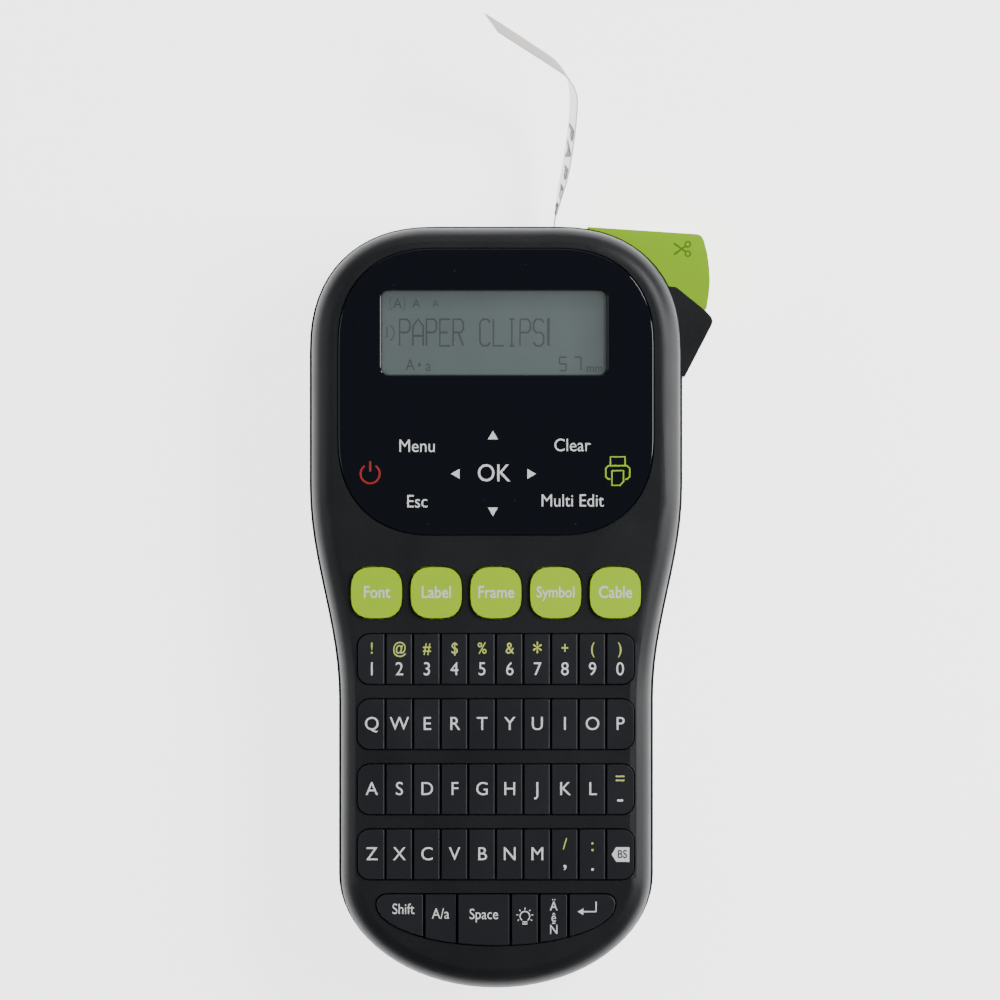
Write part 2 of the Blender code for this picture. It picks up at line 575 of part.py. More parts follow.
# ---------------------------------------------------------------- drive
DECK = CHASSIS_Z + CHASSIS_THICK
GEAR_Z = (DECK + GAP, DECK + GAP + GEAR_THICK)
SHAFT_TOP = GEAR_Z[1] + 0.8 * MM
BACK_INSIDE = WALL + GAP


def gear(name, centre, teeth, bore, tooth_at, surface=NYLON):
    """A spur gear with one tooth centred on the angle tooth_at."""
    pitch = 2 * math.pi / teeth
    root, tip = pitch_radius(teeth) - 1.15 * MODULE, pitch_radius(teeth) + 0.8 * MODULE
    outline = []
    for tooth in range(teeth):
        middle = tooth_at + tooth * pitch
        for radius, side in ((root, -TOOTH_ROOT), (tip, -TOOTH_TIP), (tip, TOOTH_TIP), (root, TOOTH_ROOT)):
            outline.append(toward(centre, middle + side * pitch, radius))
    made = plate(name, outline, *GEAR_Z, surface, origin=centre)
    if bore:
        cut(made, disc(name + "_bore", centre, bore, (0, ABOVE), helper=True, sides=24))
    return made


chassis = plate("print_chassis", rounded((76 * MM, 70 * MM), 6 * MM, (0, 55 * MM)), CHASSIS_Z, DECK, STEEL)
join(chassis, disc("idler_post", IDLER_AT, SHAFT_RADIUS, (CHASSIS_Z + GAP, SHAFT_TOP),
                   helper=True, sides=24))
for name, place, radius in (("motor_shaft_hole", MOTOR_AT, SHAFT_RADIUS), ("platen_shaft_hole", PLATEN_AT, SHAFT_RADIUS),
                            ("takeup_hole", TAKEUP_AT, SPINDLE_RADIUS)):
    cut(chassis, disc(name, place, radius + GAP, (0, ABOVE), helper=True, sides=24))

disc("motor", MOTOR_AT, MOTOR_RADIUS, (BACK_INSIDE + 2 * MM, CHASSIS_Z - GAP), STEEL, sides=36)
join(gear("motor_pinion", MOTOR_AT, PINION_TEETH, 0, TRAIN_ANGLE, STEEL),
     disc("motor_shaft", MOTOR_AT, SHAFT_RADIUS, (CHASSIS_Z, GEAR_Z[0] + MM), helper=True, sides=24))
gear("idler_gear", IDLER_AT, IDLER_TEETH, SHAFT_RADIUS + GAP, TRAIN_ANGLE + math.pi / IDLER_TEETH)
gear("platen_gear", PLATEN_AT, PLATEN_TEETH, SHAFT_RADIUS + GAP, TRAIN_ANGLE + math.pi)
gear("takeup_gear", TAKEUP_AT, TAKEUP_TEETH, SPINDLE_RADIUS + GAP, TAKEUP_ANGLE + math.pi)
disc("takeup_spindle", TAKEUP_AT, SPINDLE_RADIUS,
     (CASSETTE_Z[0] + CASSETTE_WALL + GAP, SHAFT_TOP), NYLON, sides=24)
cut(disc("platen_roller", PLATEN_AT, PLATEN_RADIUS, TAPE_Z, RUBBER, sides=36),
    disc("roller_bore", PLATEN_AT, SHAFT_RADIUS + GAP, (0, ABOVE), helper=True, sides=24))
disc("platen_shaft", PLATEN_AT, SHAFT_RADIUS, (BACK_INSIDE + MM, SHAFT_TOP), STEEL, sides=24)
head_face = TAPE_X - TAPE_THICK / 2 - RUNNING
box("print_head", (head_face - 4.5 * MM, head_face), (PLATEN_Y - 3 * MM, PLATEN_Y + 3 * MM),
    (TAPE_Z[0] - MM, TAPE_Z[1] + MM), STEEL)
box("head_bracket", (head_face - 7 * MM, head_face - 4.5 * MM - GAP), (PLATEN_Y - 3 * MM, PLATEN_Y + 8 * MM),
    (BACK_INSIDE, CHASSIS_Z - GAP), STEEL)

# ---------------------------------------------------------------- cutter
PIVOT_X, PIVOT_Y = LEVER_PIVOT
LEVER_OUTLINE = [(24.0, 99.6), (24.2, 100.1), (53.1, 98.2), (54.2, 97.7), (54.8, 96.6), (55.7, 93.2),
                 (56.2, 89.5), (56.4, 85.8), (56.1, 82.2), (55.5, 78.6), (55.0, 78.1), (46.4, 83.9), (38, 80.4)]
hub_steps = 8
lever_outline = [(x * MM, y * MM) for x, y in LEVER_OUTLINE]
for step in range(hub_steps + 1):
    lever_outline.append(toward(LEVER_PIVOT, -math.pi * (0.12 + 0.88 * step / hub_steps), HUB_RADIUS))
lever = plate("cutter_lever", lever_outline, *LEVER_Z, LIME, origin=LEVER_PIVOT)
carriage_z = (TAPE_Z[1] + 3 * GAP, TAPE_Z[1] + 3 * GAP + CHASSIS_THICK)
drive_at = (PIVOT_X, PIVOT_Y + DRIVE_ARM)
join(lever, disc("drive_pin", drive_at, DRIVE_RADIUS, (LEVER_Z[1] - MM, carriage_z[1]),
                 helper=True, sides=20))
cut(lever, disc("lever_bore", LEVER_PIVOT, PIN_RADIUS + GAP, (0, ABOVE), helper=True, sides=24))
disc("lever_pin", LEVER_PIVOT, PIN_RADIUS, (BACK_INSIDE, CHASSIS_Z - GAP), STEEL, sides=24)
boss = disc("lever_boss", LEVER_PIVOT, HUB_RADIUS, (WALL / 2, LEVER_Z[0] - GAP), helper=True, sides=24)
cut(join(rear_case, boss), disc("lever_pin_seat", LEVER_PIVOT, PIN_RADIUS + GAP, (WALL, DEPTH),
                                helper=True, sides=24))

slot_half = DRIVE_RADIUS + GAP
carriage = box("blade_carriage", (TAPE_X - 6.5 * MM, PIVOT_X + 3 * MM), (CUTTER_Y - 4 * MM, CUTTER_Y + 3.2 * MM),
               carriage_z, STEEL)
cut(carriage, box("carriage_slot", (PIVOT_X - slot_half, PIVOT_X + slot_half),
                  (drive_at[1] - slot_half - MM, BODY_TOP), (0, ABOVE), helper=True),
    box("carriage_prong_end", (PIVOT_X, PIVOT_X + 10 * MM), (drive_at[1] + 2 * GAP, BODY_TOP), (0, ABOVE),
        helper=True))
blade_reach = DRIVE_ARM * math.sin(LEVER_ANGLE) - MM
box("cutter_blade", (TAPE_X - 6 * MM, TAPE_X - blade_reach), (CUTTER_Y - BLADE_THICK / 2, CUTTER_Y + BLADE_THICK / 2),
    (TAPE_Z[0] - MM, carriage_z[0] - GAP), STEEL)
box("cutter_anvil", (TAPE_X + 2 * GAP, TAPE_X + 3.6 * MM),
    (CUTTER_Y - BLADE_THICK / 2 - GAP - 1.4 * MM, CUTTER_Y - BLADE_THICK / 2 - GAP), (BACK_INSIDE, TAPE_Z[1]), STEEL)

spring = bpy.data.curves.new("lever_spring", "CURVE")
spring.dimensions = "3D"
spring.bevel_depth, spring.bevel_resolution, spring.use_fill_caps = 0.3 * MM, 1, True
COIL_TURNS, COIL_SIDES, COIL_LIFT = 2, 16, 0.9 * MM
COIL_RADIUS, COIL_BOTTOM = PIN_RADIUS + 1.1 * MM, LEVER_Z[1] + 1.0 * MM
wire = spring.splines.new("POLY")
wire.points.add(COIL_TURNS * COIL_SIDES)
for k, point in enumerate(wire.points):
    x, y = toward(LEVER_PIVOT, 2 * math.pi * k / COIL_SIDES, COIL_RADIUS)
    point.co = (x, y, COIL_BOTTOM + COIL_LIFT * k / COIL_SIDES, 1)
spring_object = bpy.data.objects.new("lever_spring", spring)
bpy.context.scene.collection.objects.link(spring_object)
bpy.context.view_layer.update()
finish(mesh_of(spring_object), "lever_spring", STEEL)

SWING_Z = (LEVER_Z[0] - 2 * GAP, LEVER_Z[1] + 2 * GAP)
GUARD_OUTLINE = [(48.2, 60.6), (49.7, 60.6), (56.7, 74.1), (57.0, 75.2), (56.6, 76.3), (55.2, 77.8),
                 (47.4, 84.1), (44.4, 84.4), (47.4, 72)]
join(rear_case, plate("lever_guard", [(x * MM, y * MM) for x, y in GUARD_OUTLINE],
                      BACK_FILLET, BACK_RIM, helper=True))
cut(rear_case,
    box("lever_way_top", (23 * MM, 65 * MM), (88 * MM, 106 * MM), SWING_Z, helper=True),
    box("lever_way_side", (39 * MM, 65 * MM), (70 * MM, 106 * MM), SWING_Z, helper=True))

# ---------------------------------------------------------------- power
cell_y = (CELL_MIDDLE[0] - CELL_LENGTH / 2, CELL_MIDDLE[0] + CELL_LENGTH / 2)
CONTACT_THICK, NUB_RADIUS, NUB = 0.4 * MM, 1.9 * MM, 0.9 * MM
row_half = CELLS * CELL_PITCH / 2
for number in range(CELLS):
    x = (number - (CELLS - 1) / 2) * CELL_PITCH
    pole = 1 if number % 2 else -1
    sections = []
    for name, radius, low, high in (
        (f"cell_{number + 1}", CELL_RADIUS, cell_y[0] + (NUB if pole < 0 else 0), cell_y[1] - (NUB if pole > 0 else 0)),
        (f"cell_{number + 1}_nub", NUB_RADIUS, cell_y[1] - 2 * NUB if pole > 0 else cell_y[0],
         cell_y[1] if pole > 0 else cell_y[0] + 2 * NUB),
    ):
        bpy.ops.mesh.primitive_cylinder_add(radius=radius, depth=high - low, vertices=28,
                                            rotation=(math.pi / 2, 0, 0))
        section = bpy.context.object
        section.location = (x, (low + high) / 2, CELL_MIDDLE[1])
        sections.append(finish(section, name, CELL, helper=bool(sections)))
    bpy.context.view_layer.update()
    join(*sections)
for name, y in (("contact_strip_lower", cell_y[0] - GAP - CONTACT_THICK), ("contact_strip_upper", cell_y[1] + GAP)):
    box(name, (-row_half + MM, row_half - MM), (y, y + CONTACT_THICK),
        (CELL_MIDDLE[1] - 3.5 * MM, CELL_MIDDLE[1] + 3.5 * MM), STEEL)
tray_room = (cell_y[0] - CONTACT_THICK - 2 * GAP, cell_y[1] + CONTACT_THICK + 2 * GAP)
TRAY_WALL = 1 * MM
tray_top = CELL_MIDDLE[1] + CELL_RADIUS + 2 * GAP
tray = box("battery_tray", (-row_half - TRAY_WALL, row_half + TRAY_WALL),
           (tray_room[0] - TRAY_WALL, tray_room[1] + TRAY_WALL), (BACK_FILLET, tray_top + TRAY_WALL))
cut(tray, box("tray_inside", (-row_half, row_half), tray_room, (0, tray_top), helper=True))
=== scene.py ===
# %% [markdown]
# # A handheld label maker
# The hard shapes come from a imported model, which is loaded here as a frame that never moves.
# This lesson gives it soft moulded edges, finishes for each material, printed legends,
# a display that shows a message, a floor, lights and a camera.

# %% Load the frame
import json
import math

import bpy
from mathutils import Matrix, Vector


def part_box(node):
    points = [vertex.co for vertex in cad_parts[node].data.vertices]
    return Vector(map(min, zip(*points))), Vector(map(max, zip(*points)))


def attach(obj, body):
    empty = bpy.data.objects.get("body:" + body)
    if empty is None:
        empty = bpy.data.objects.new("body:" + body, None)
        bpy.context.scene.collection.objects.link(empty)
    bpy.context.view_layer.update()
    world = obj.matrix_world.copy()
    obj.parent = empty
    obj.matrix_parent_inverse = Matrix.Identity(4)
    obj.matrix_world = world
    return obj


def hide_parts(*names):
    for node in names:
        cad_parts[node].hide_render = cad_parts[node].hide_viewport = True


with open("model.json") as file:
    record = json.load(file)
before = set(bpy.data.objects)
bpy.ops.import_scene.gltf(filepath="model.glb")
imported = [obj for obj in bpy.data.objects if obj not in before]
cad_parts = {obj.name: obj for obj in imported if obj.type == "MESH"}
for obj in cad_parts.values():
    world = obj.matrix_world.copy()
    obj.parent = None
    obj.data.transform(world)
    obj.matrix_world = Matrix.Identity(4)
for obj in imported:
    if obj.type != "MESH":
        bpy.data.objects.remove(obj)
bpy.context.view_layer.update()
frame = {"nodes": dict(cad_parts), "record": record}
nodes = frame["nodes"]
MM = 0.001
bodies = frame["record"]["behaviour"]["bodies"]
body_holding = {node: body for body, held in bodies.items() for node in held}

# %% [markdown]
# Shader maths reads best as plain expressions. A small class wraps a socket, and its operators
# add the Math nodes. One method makes any other node.


# %% A wrapper for sockets, and a material's node maker
class Value:
    """A socket that can be added, subtracted, multiplied and compared."""

    def __init__(self, maker, socket):
        self.maker, self.socket = maker, socket

    def _math(self, operation, a, b):
        return self.maker.node("ShaderNodeMath", {"operation": operation}, {0: a, 1: b})

    def __add__(self, other):
        return self._math("ADD", self, other)

    def __sub__(self, other):
        return self._math("SUBTRACT", self, other)

    def __mul__(self, other):
        return self._math("MULTIPLY", self, other)

    def __gt__(self, other):
        return self._math("GREATER_THAN", self, other)


class Finish:
    """One material and its nodes."""

    def __init__(self, name, colour, roughness, metallic=0.0, coat=0.0):
        self.material = bpy.data.materials.new(name)
        self.material.use_nodes = True
        self.tree = self.material.node_tree
        self.shader = self.tree.nodes["Principled BSDF"]
        for socket, value in (("Base Color", (*colour, 1)), ("Roughness", roughness),
                              ("Metallic", metallic), ("Coat Weight", coat)):
            self.shader.inputs[socket].default_value = value
        coordinates = self.tree.nodes.new("ShaderNodeTexCoord")
        self.place = Value(self, coordinates.outputs["Object"])

    def node(self, kind, settings=None, inputs=None, output=0):
        """Adds a node, sets it, and gives one of its outputs. An input is a value or a link."""
        made = self.tree.nodes.new(kind)
        for name, value in (settings or {}).items():
            setattr(made, name, value)
        for key, value in (inputs or {}).items():
            if isinstance(value, Value):
                self.tree.links.new(value.socket, made.inputs[key])
            else:
                made.inputs[key].default_value = value
        return Value(self, made.outputs[output])

    def noise(self, scale, detail=3.0, rough=0.5):
        return self.node("ShaderNodeTexNoise", {}, {"Vector": self.place, "Scale": scale,
                                                    "Detail": detail, "Roughness": rough})

    def mix(self, factor, first, second):
        """Two colours mixed. A colour is three numbers or a link."""
        first, second = (c if isinstance(c, Value) else (*c, 1) for c in (first, second))
        return self.node("ShaderNodeMix", {"data_type": "RGBA"}, {0: factor, 6: first, 7: second}, 2)

    def axis(self, number):
        """One coordinate of the place: 0 is X, 1 is Y."""
        return self.node("ShaderNodeSeparateXYZ", {}, {0: self.place}, number)

    def ramp(self, value, low, high):
        """0 up to low, 1 from high, and even between them."""
        return self.node("ShaderNodeMapRange", {}, {0: value, 1: low, 2: high})

    def stretched(self, scale):
        """Noise drawn out along an axis: fine lines, or a weave."""
        squeezed = self.node("ShaderNodeMapping", {}, {"Vector": self.place, "Scale": scale})
        return self.node("ShaderNodeTexNoise", {}, {"Vector": squeezed, "Scale": 400, "Detail": 3.0})

    def feed(self, socket, value):
        """Links a value to a socket of the shader."""
        self.tree.links.new(value.socket, self.shader.inputs[socket])
        return self

    def bump(self, height, strength, distance):
        """Small relief in the shading. distance is its height in metres."""
        inputs = {"Strength": strength, "Distance": distance, "Height": height}
        return self.feed("Normal", self.node("ShaderNodeBump", {}, inputs))


# %% [markdown]
# ## Finishes
# The moulds are spark-eroded, so the plastic has a grain well under a millimetre that scatters the
# light. Broad soft patches in the colour and the roughness stand for handling. The lower specular
# level keeps the dark plastics dark beside the bright floor.


# %% Moulded plastics
GRAIN_HEIGHT, PLASTIC_SPECULAR = 0.06 * MM, 0.36


def moulded(name, colour, roughness, grain, strength, patch=0.12):
    """Plastic with a fine grain and soft patches, which change the colour by the share patch."""
    made = Finish(name, colour, roughness)
    fine, broad = made.noise(grain, 2.0, 0.6), made.noise(60, 3.0)
    dark = tuple(c * (1 - patch) for c in colour)
    light = tuple(min(c * (1 + patch), 1) for c in colour)
    speckle = made.ramp(fine * 0.6 + broad * 0.4, 0.3, 0.7)
    made.feed("Base Color", made.mix(speckle, dark, light))
    made.feed("Roughness", (broad - 0.5) * 0.16 + (fine - 0.5) * 0.1 + roughness)
    made.shader.inputs["Specular IOR Level"].default_value = PLASTIC_SPECULAR
    return made.bump(fine, strength, GRAIN_HEIGHT)


CASE = moulded("charcoal_grained", (0.009, 0.0098, 0.012), 0.42, 2600, 0.6, patch=0.3)
INNER = moulded("inner_plastic", (0.06, 0.06, 0.065), 0.6, 1800, 0.3)
KEYS = moulded("key_plastic", (0.0115, 0.013, 0.0165), 0.42, 3000, 0.22, patch=0.2)
LIME = moulded("lime_plastic", (0.42, 0.72, 0.0), 0.5, 3000, 0.1, patch=0.04)
LEVER = moulded("lime_lever", (0.31, 0.62, 0.0), 0.5, 2600, 0.2, patch=0.05)
LEVER_MARK = moulded("lime_lever_mark", (0.10, 0.27, 0.0), 0.6, 2600, 0.2, patch=0.05)
RUBBER = moulded("dark_rubber", (0.045, 0.045, 0.048), 0.8, 1500, 0.5)
NYLON = moulded("gear_nylon", (0.75, 0.72, 0.62), 0.45, 1400, 0.2, patch=0.06)
print("plastics ready")

# %% [markdown]
# The panel is polished acrylic, printed black from behind, with a few dust specks and faint wipe
# marks in its roughness. The display is grey-green reflective glass, with shade painted into its
# colour toward its upper edge and right end, as the bezel would shade it. The window over it is nearly
# clear.

# %% Panel, display and window
BLACK_PRINT, DUST = (0.0025, 0.004, 0.0075), (0.05, 0.055, 0.06)
PANEL = Finish("panel_acrylic", BLACK_PRINT, 0.06)
specks = PANEL.noise(700, 1.0) > 0.79
PANEL.feed("Base Color", PANEL.mix(specks * 0.5, BLACK_PRINT, DUST))
PANEL.feed("Roughness", PANEL.noise(45, 4.0) * 0.06 + specks * 0.25 + 0.03)

GLASS_OPEN, GLASS_SHADED = (0.066, 0.097, 0.101), (0.009, 0.014, 0.016)
DISPLAY = Finish("display_glass", GLASS_OPEN, 0.45)
(_, _, _), (lcd_right, lcd_top, lcd_face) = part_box("lcd_module")
# Painted shade: the glass colour darkens toward the top edge and the right end, standing in for the
# bezel's shadow.
shade_up = DISPLAY.ramp(DISPLAY.axis(1), lcd_top - 7.5 * MM, lcd_top - 1.5 * MM)
shade_side = DISPLAY.ramp(DISPLAY.axis(0), lcd_right - 12 * MM, lcd_right - 2 * MM)
shade = shade_up * 0.6 + shade_side * 0.35 + (DISPLAY.noise(150, 2.0) - 0.5) * 0.15
DISPLAY.feed("Base Color", DISPLAY.mix(shade, GLASS_OPEN, GLASS_SHADED))
DISPLAY.feed("Roughness", DISPLAY.noise(500, 2.0) * 0.1 + 0.4)

WINDOW = Finish("window_clear", (0.6, 0.65, 0.62), 0.05)
WINDOW.feed("Alpha", WINDOW.noise(60, 2.0) * 0.03 + 0.04)
WINDOW.feed("Roughness", WINDOW.noise(90, 2.0) * 0.06 + 0.03)

# %% [markdown]
# Metal parts inside are plain sheet and turned steel. Fine lines along one direction come from
# noise that is stretched, and a second noise dulls it in patches. The circuit board has a weave,
# the cells have a jacket in two colours, and the ribbon is dark film.

# %% Steel, board, cells and film
STEEL = Finish("bright_steel", (0.55, 0.55, 0.56), 0.3, metallic=1.0)
lines = STEEL.stretched((0.05, 1, 1))
STEEL.feed("Base Color", STEEL.mix(lines, (0.45, 0.45, 0.46), (0.66, 0.66, 0.67)))
STEEL.feed("Roughness", lines * 0.2 + STEEL.noise(80) * 0.15 + 0.15)
STEEL.bump(lines, 0.12, 0.03 * MM)

BOARD = Finish("circuit_board", (0.01, 0.1, 0.045), 0.45)
weave = BOARD.stretched((3, 0.4, 1))
BOARD.feed("Base Color", BOARD.mix(weave, (0.006, 0.075, 0.03), (0.014, 0.14, 0.06)))
BOARD.feed("Roughness", weave * 0.2 + 0.35)

CELL = Finish("cell_jacket", (0.04, 0.1, 0.25), 0.3, coat=0.4)
BAND_FROM_Y = -48 * MM
band = CELL.axis(1) > BAND_FROM_Y
CELL.feed("Base Color", CELL.mix(band, (0.03, 0.08, 0.22), (0.62, 0.45, 0.2)))
CELL.feed("Roughness", CELL.noise(200) * 0.1 + 0.25)

FILM = Finish("ribbon_film", (0.012, 0.012, 0.014), 0.22)
wound = FILM.noise(700, 1.0)
FILM.feed("Roughness", wound * 0.2 + 0.12)
FILM.feed("Base Color", FILM.mix(wound, (0.009, 0.009, 0.011), (0.02, 0.02, 0.024)))

# %% [markdown]
# Laminated tape is white and slightly glossy on its printed side. Its other side is the paper
# liner, warmer and duller, with a faint fibre. The direction that a face points in tells which
# side it is on.

# %% Laminated tape
TAPE = Finish("laminated_tape", (0.86, 0.86, 0.84), 0.3, coat=0.2)
LINER_SIDE = (0.8, 0.3, 0.0)
facing = TAPE.node("ShaderNodeNewGeometry", {}, {}, "Normal")
lean = TAPE.node("ShaderNodeVectorMath", {"operation": "DOT_PRODUCT"}, {0: facing, 1: LINER_SIDE}, 1)
liner = lean > 0.15
fibre = TAPE.noise(1300, 4.0, 0.7)
paper = TAPE.mix(fibre, (0.25, 0.215, 0.19), (0.32, 0.28, 0.25))
TAPE.feed("Base Color", TAPE.mix(liner, (0.86, 0.86, 0.845), paper))
TAPE.feed("Roughness", liner * 0.3 + fibre * 0.12 + 0.24)
TAPE.bump(fibre, 0.15, 0.03 * MM)

# %% [markdown]
# Legends are pad-printed in thin opaque ink, one finish for each colour.


# %% Inks for the legends
def ink(name, colour, roughness=0.4):
    """A printed legend: nearly one colour, with the slight unevenness of pad printing."""
    made = Finish(name, colour, roughness)
    uneven = made.noise(2500, 2.0)
    made.feed("Base Color", made.mix(uneven, tuple(c * 0.88 for c in colour), colour))
    made.feed("Roughness", uneven * 0.2 + roughness)
    return made


WHITE = ink("white_ink", (1.0, 1.0, 1.0))
PALE_LIME = ink("lime_ink", (0.72, 0.80, 0.16))
CREAM = ink("cream_ink", (1.0, 1.0, 0.9))
RED = ink("red_ink", (0.42, 0.012, 0.012))
SEGMENT = ink("display_segment", (0.012, 0.018, 0.018), 0.3)
LIME_ICON = ink("lime_icon", (0.42, 0.75, 0.02))
DARK = ink("tape_print", (0.02, 0.02, 0.025))
print("finishes ready")

# %% [markdown]
# ## Moulded edges
# No moulding has a razor edge. Each hard shape is copied, the triangles of its flat areas are made
# whole faces, and a small bevel rounds the edges between them. The copy then stands for the
# original. It rides on the body that holds the original, so that it moves with it.

# %% Helpers for pieces
SAME_POINT, SAME_PLANE, SOFT_ANGLE = 0.004 * MM, math.radians(0.3), math.radians(32)


def only(obj):
    """Selects this object alone and makes it the active one."""
    bpy.ops.object.select_all(action="DESELECT")
    obj.select_set(True)
    bpy.context.view_layer.objects.active = obj


def settle(obj, name, finish, body):
    """Names a piece, gives it its finish, puts its place into its mesh, and lets it ride."""
    only(obj)
    bpy.ops.object.transform_apply(location=True, rotation=True, scale=True)
    obj.name = obj.data.name = name
    obj.data.materials.clear()
    obj.data.materials.append(finish.material)
    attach(obj, body)
    return obj


def flat_first(obj):
    """Lets the large faces set the shading, so that a flat stays flat up to its rounded edge."""
    bpy.ops.object.shade_smooth_by_angle(angle=SOFT_ANGLE)
    weighted = obj.modifiers.new("flats", "WEIGHTED_NORMAL")
    weighted.keep_sharp = True
    bpy.ops.object.modifier_apply(modifier="flats")


def softened(node, finish, width, segments=3, sharp=math.radians(30)):
    """A copy of a node whose edges over the angle sharp are rounded, which stands for it."""
    copy = bpy.data.objects.new("soft_" + node, nodes[node].data.copy())
    bpy.context.scene.collection.objects.link(copy)
    only(copy)
    bpy.ops.object.mode_set(mode="EDIT")
    bpy.ops.mesh.select_all(action="SELECT")
    bpy.ops.mesh.remove_doubles(threshold=SAME_POINT)
    bpy.ops.mesh.dissolve_limited(angle_limit=SAME_PLANE)
    bpy.ops.object.mode_set(mode="OBJECT")
    bpy.ops.object.shade_smooth_by_angle(angle=sharp)
    bevel = copy.modifiers.new("edges", "BEVEL")
    bevel.width, bevel.segments = width, segments
    bevel.limit_method, bevel.angle_limit = "ANGLE", sharp
    bpy.ops.object.modifier_apply(modifier="edges")
    flat_first(copy)
    settle(copy, "soft_" + node, finish, body_holding[node])
    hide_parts(node)
    return copy


# %% [markdown]
# Most edges get a radius of about a quarter of a millimetre, the lime keys half a millimetre, and
# the lever much more.

# %% Round the edges that show
for node, width in (("front_case", 0.28 * MM), ("rear_case", 0.3 * MM),
                    ("cassette_door", 0.3 * MM), ("battery_door", 0.3 * MM)):
    print(node, len(softened(node, CASE, width).data.polygons), "faces")
softened("front_panel", PANEL, 0.22 * MM)
softened("cutter_lever", LEVER, 1.5 * MM, segments=5)
FUNCTION_KEYS = {"font_key": "Font", "label_key": "Label", "frame_key": "Frame",
                 "symbol_key": "Symbol", "cable_key": "Cable"}
for node in FUNCTION_KEYS:
    softened(node, LIME, 0.55 * MM, segments=4)
MOON_KEYS = ("shift_key", "capitals_key", "space_key", "light_key", "accent_key", "enter_key")
for node in MOON_KEYS:
    softened(node, KEYS, 0.22 * MM)

# %% [markdown]
# A thumb needs grip to open a door, so both doors have a bank of moulded grooves near the edge
# that opens, each a little shorter than the one before. One long block is cut out for each groove.

# %% Grip grooves in the doors
GROOVES, GROOVE, GROOVE_PITCH, GROOVE_DEPTH = 5, 0.9 * MM, 1.9 * MM, 0.5 * MM
GROOVE_MARGIN, GROOVE_TAPER = 4 * MM, 0.12


def grooved(door, first_y, length, step):
    """Cuts a bank of grooves across the outside of a door. step is 1 or -1, the way it goes on."""
    for number in range(GROOVES):
        bpy.ops.object.select_all(action="DESELECT")
        y = first_y + step * number * GROOVE_PITCH
        bpy.ops.mesh.primitive_cube_add(size=1, location=(0, y, 0))
        block = bpy.context.object
        block.scale = (length * (1 - GROOVE_TAPER * number), GROOVE, 2 * GROOVE_DEPTH)
        only(block)
        bpy.ops.object.transform_apply(location=True, rotation=True, scale=True)
        only(door)
        taken = door.modifiers.new("groove", "BOOLEAN")
        taken.operation, taken.solver, taken.object = "DIFFERENCE", "EXACT", block
        bpy.ops.object.modifier_apply(modifier="groove")
        bpy.data.objects.remove(block)
    flat_first(door)


for node, opening_side, length in (("cassette_door", 1, 26 * MM), ("battery_door", -1, 24 * MM)):
    low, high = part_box(node)
    edge = high[1] if opening_side > 0 else low[1]
    first_y = edge - opening_side * GROOVE_MARGIN
    grooved(bpy.data.objects["soft_" + node], first_y, length, -opening_side)
    print(node, "grooved near y =", round(edge * 1000), "mm")

# %% [markdown]
# ## Letter keys
# Each row is ten narrow caps in one opening. A cap is a block whose right upper edge is cut back to
# a slope, which catches the light as a pale line beside the dark gap, and the two outer caps take
# the round corners of the opening.


# %% Model a cap and repeat it
TINY, CORNER_RADIUS, SLOPE, CAP_EDGE = 0.001 * MM, 3.0 * MM, 0.42 * MM, 0.13 * MM


def cap(left, right, bottom, top, foot, crown, rounded_side):
    """One key cap. rounded_side is -1 or 1 for an outer cap, or 0."""
    bpy.ops.object.select_all(action="DESELECT")
    middle = ((left + right) / 2, (bottom + top) / 2, (foot + crown) / 2)
    bpy.ops.mesh.primitive_cube_add(size=1, location=middle)
    made = bpy.context.object
    made.scale = (right - left, top - bottom, crown - foot)
    bpy.ops.object.transform_apply(location=True, rotation=True, scale=True)
    if rounded_side:
        outer = left if rounded_side < 0 else right
        pick_edges(made, lambda a, b: max(abs(a.x - outer), abs(b.x - outer)) < TINY
                   and abs(a.z - b.z) > 100 * TINY)
        bpy.ops.mesh.bevel(offset=CORNER_RADIUS, segments=6, affect="EDGES")
        bpy.ops.object.mode_set(mode="OBJECT")
    if rounded_side <= 0:
        pick_edges(made, lambda a, b: min(a.x, b.x) > right - TINY and min(a.z, b.z) > crown - TINY)
        bpy.ops.mesh.bevel(offset=SLOPE, segments=2, affect="EDGES")
        bpy.ops.object.mode_set(mode="OBJECT")
    bevel = made.modifiers.new("edges", "BEVEL")
    bevel.width, bevel.segments, bevel.limit_method = CAP_EDGE, 2, "ANGLE"
    bpy.ops.object.modifier_apply(modifier="edges")
    return made


def pick_edges(obj, wanted):
    """Enters edit mode with the edges whose two ends satisfy the test selected."""
    only(obj)
    bpy.ops.object.mode_set(mode="EDIT")
    bpy.ops.mesh.select_mode(type="EDGE")
    bpy.ops.mesh.select_all(action="DESELECT")
    bpy.ops.object.mode_set(mode="OBJECT")
    points = obj.data.vertices
    for edge in obj.data.edges:
        edge.select = wanted(points[edge.vertices[0]].co, points[edge.vertices[1]].co)
    bpy.ops.object.mode_set(mode="EDIT")


def joined(pieces, name, finish, body):
    """Several pieces of one finish made one object."""
    bpy.ops.object.select_all(action="DESELECT")
    for piece in pieces:
        piece.select_set(True)
    bpy.context.view_layer.objects.active = pieces[0]
    if len(pieces) > 1:
        bpy.ops.object.join()
    return settle(bpy.context.view_layer.objects.active, name, finish, body)


